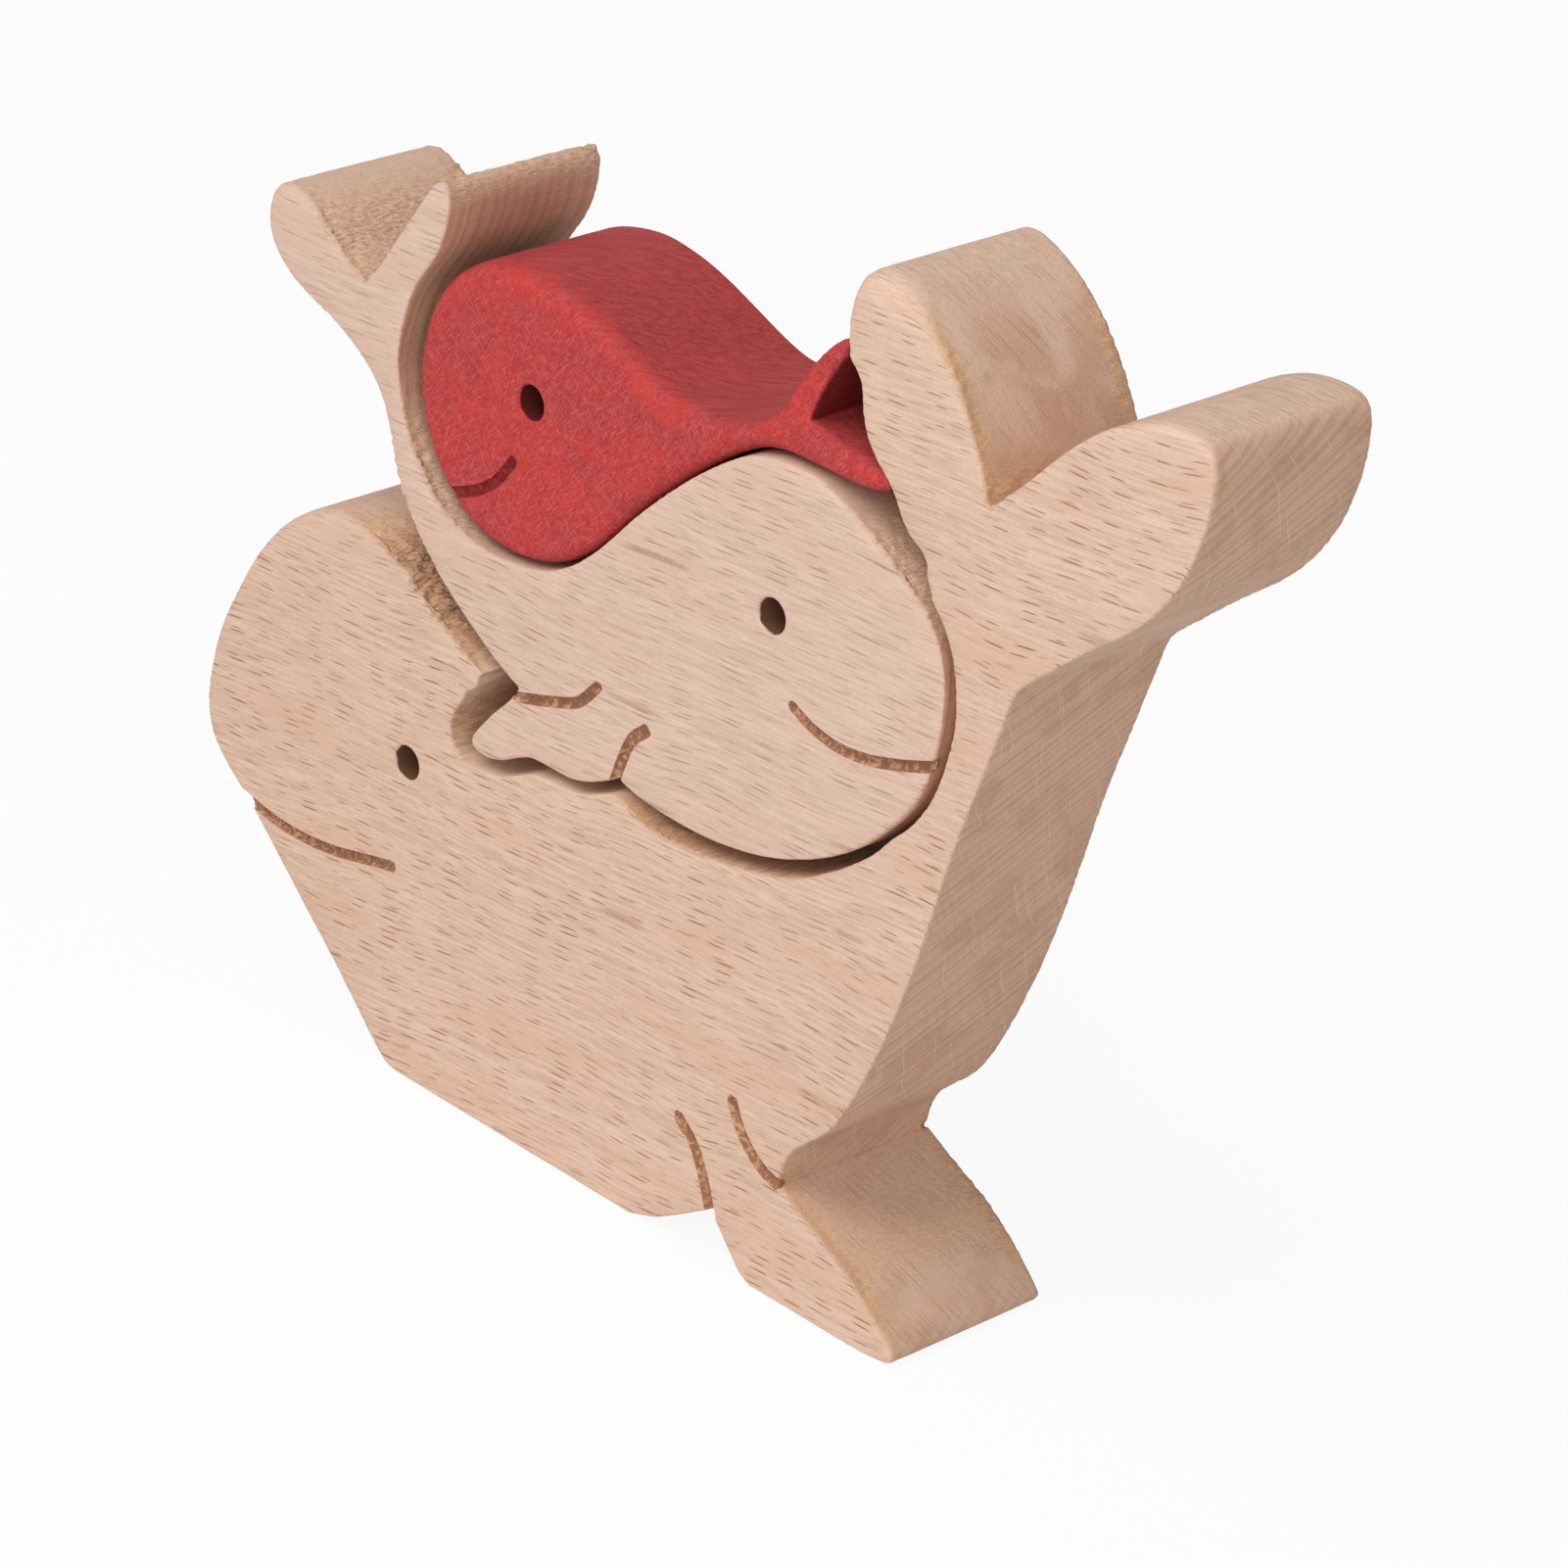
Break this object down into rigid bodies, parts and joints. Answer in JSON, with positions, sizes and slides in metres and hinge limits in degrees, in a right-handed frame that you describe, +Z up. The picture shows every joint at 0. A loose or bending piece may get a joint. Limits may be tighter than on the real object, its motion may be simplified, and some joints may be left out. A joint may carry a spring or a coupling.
{
  "type": "nesting wooden whale set",
  "caption": "Standing wooden toy of whales cut from one thick board, each smaller whale lying in the curved back of a larger one and sliding out sideways.",
  "frame": {"origin": "on the ground, midway along the big whale and midway through its thickness", "axes": "+Z up, +X from the big whale's nose towards its tail, front face towards -Y"},
  "size_m": [0.1816, 0.028, 0.1476],
  "materials": {
    "beech": "sanded bare beech",
    "red_stained_beech": "matte red stain on beech"
  },
  "bodies": {
    "big_whale": {"big_whale": "beech"},
    "medium_whale": {"medium_whale": "beech"},
    "small_whale": {"small_whale": "red_stained_beech"}
  },
  "joints": [
    {"name": "medium_slide", "type": "slide", "parent": "big_whale", "child": "medium_whale", "axis": [0, -1, 0], "range_m": [-0.03, 0.03]},
    {"name": "small_slide", "type": "slide", "parent": "medium_whale", "child": "small_whale", "axis": [0, -1, 0], "range_m": [-0.03, 0.03]}
  ]
}
